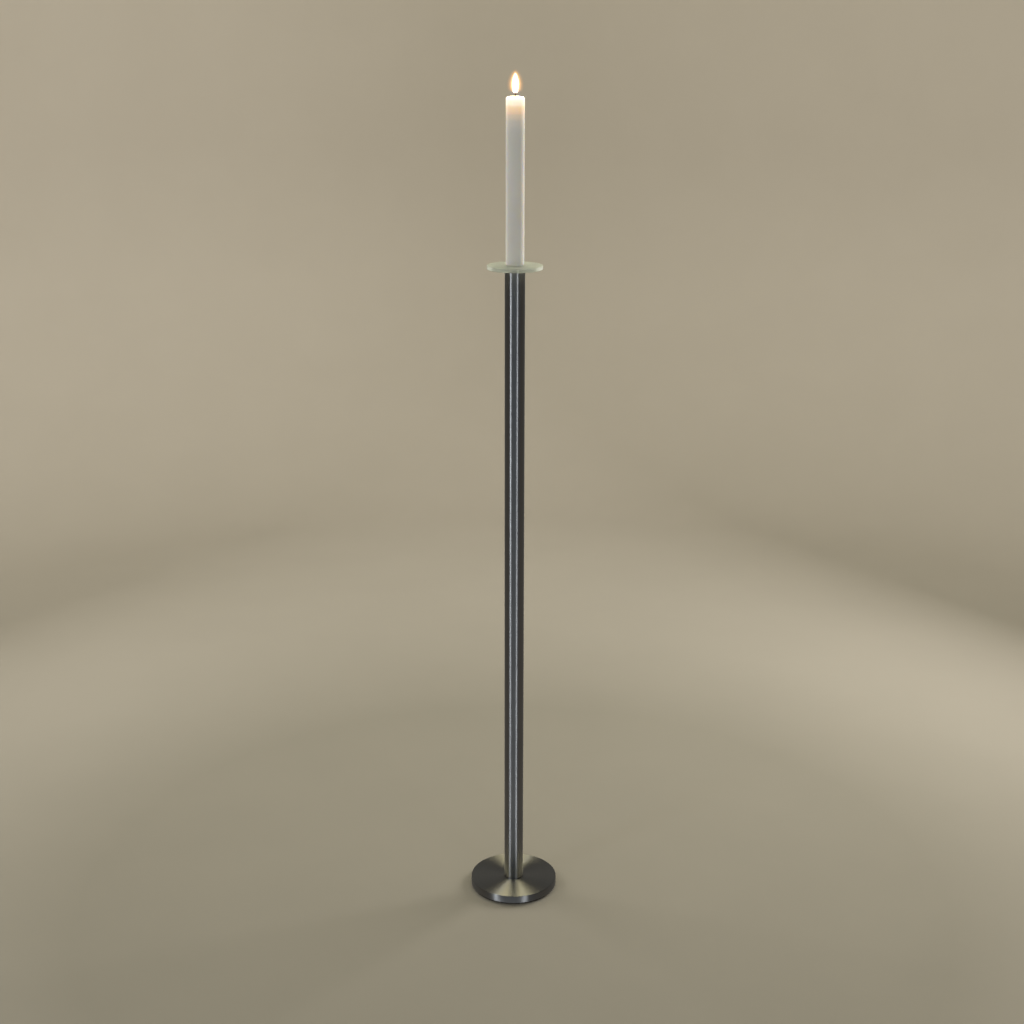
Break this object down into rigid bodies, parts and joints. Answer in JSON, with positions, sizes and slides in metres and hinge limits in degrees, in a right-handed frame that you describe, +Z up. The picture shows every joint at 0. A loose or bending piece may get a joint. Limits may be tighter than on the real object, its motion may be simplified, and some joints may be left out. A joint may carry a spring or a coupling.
{
  "type": "floor candle holder",
  "caption": "Floor-standing candle holder: slim brushed steel tube on a flat round foot, with a thick glass drip disc over a spike that holds a cylinder candle.",
  "frame": {"origin": "on the floor, under the centre of the round base", "axes": "+Z up along the tube and the candle; the object is round, so +X and +Y are interchangeable"},
  "size_m": [0.138, 0.138, 1.259],
  "materials": {
    "black_rubber": "matt black rubber",
    "turned_stainless": "lathe-turned stainless steel with fine round grain",
    "plain_steel": "plain machined steel",
    "brushed_stainless": "stainless steel tube, satin ground around its girth",
    "clear_silicone": "clear soft silicone",
    "satin_glass": "satin-etched float glass, pale green",
    "ivory_wax": "ivory candle wax, soft sheen",
    "burnt_cotton": "charred cotton braid"
  },
  "bodies": {
    "stand": {"floor_pad": "black_rubber", "base_plate": "turned_stainless", "base_screw": "plain_steel", "bottom_plug": "plain_steel", "column_tube": "brushed_stainless", "top_plug": "plain_steel", "seat_ring": "clear_silicone", "candle_spike": "turned_stainless"},
    "dish": {"glass_dish": "satin_glass"},
    "candle": {"candle_body": "ivory_wax", "candle_wick": "burnt_cotton"}
  },
  "joints": [
    {"name": "dish_lift", "type": "slide", "parent": "stand", "child": "dish", "axis": [0, 0, 1], "range_m": [0, 0.06]},
    {"name": "candle_lift", "type": "slide", "parent": "dish", "child": "candle", "axis": [0, 0, 1], "range_m": [0, 0.06]}
  ]
}
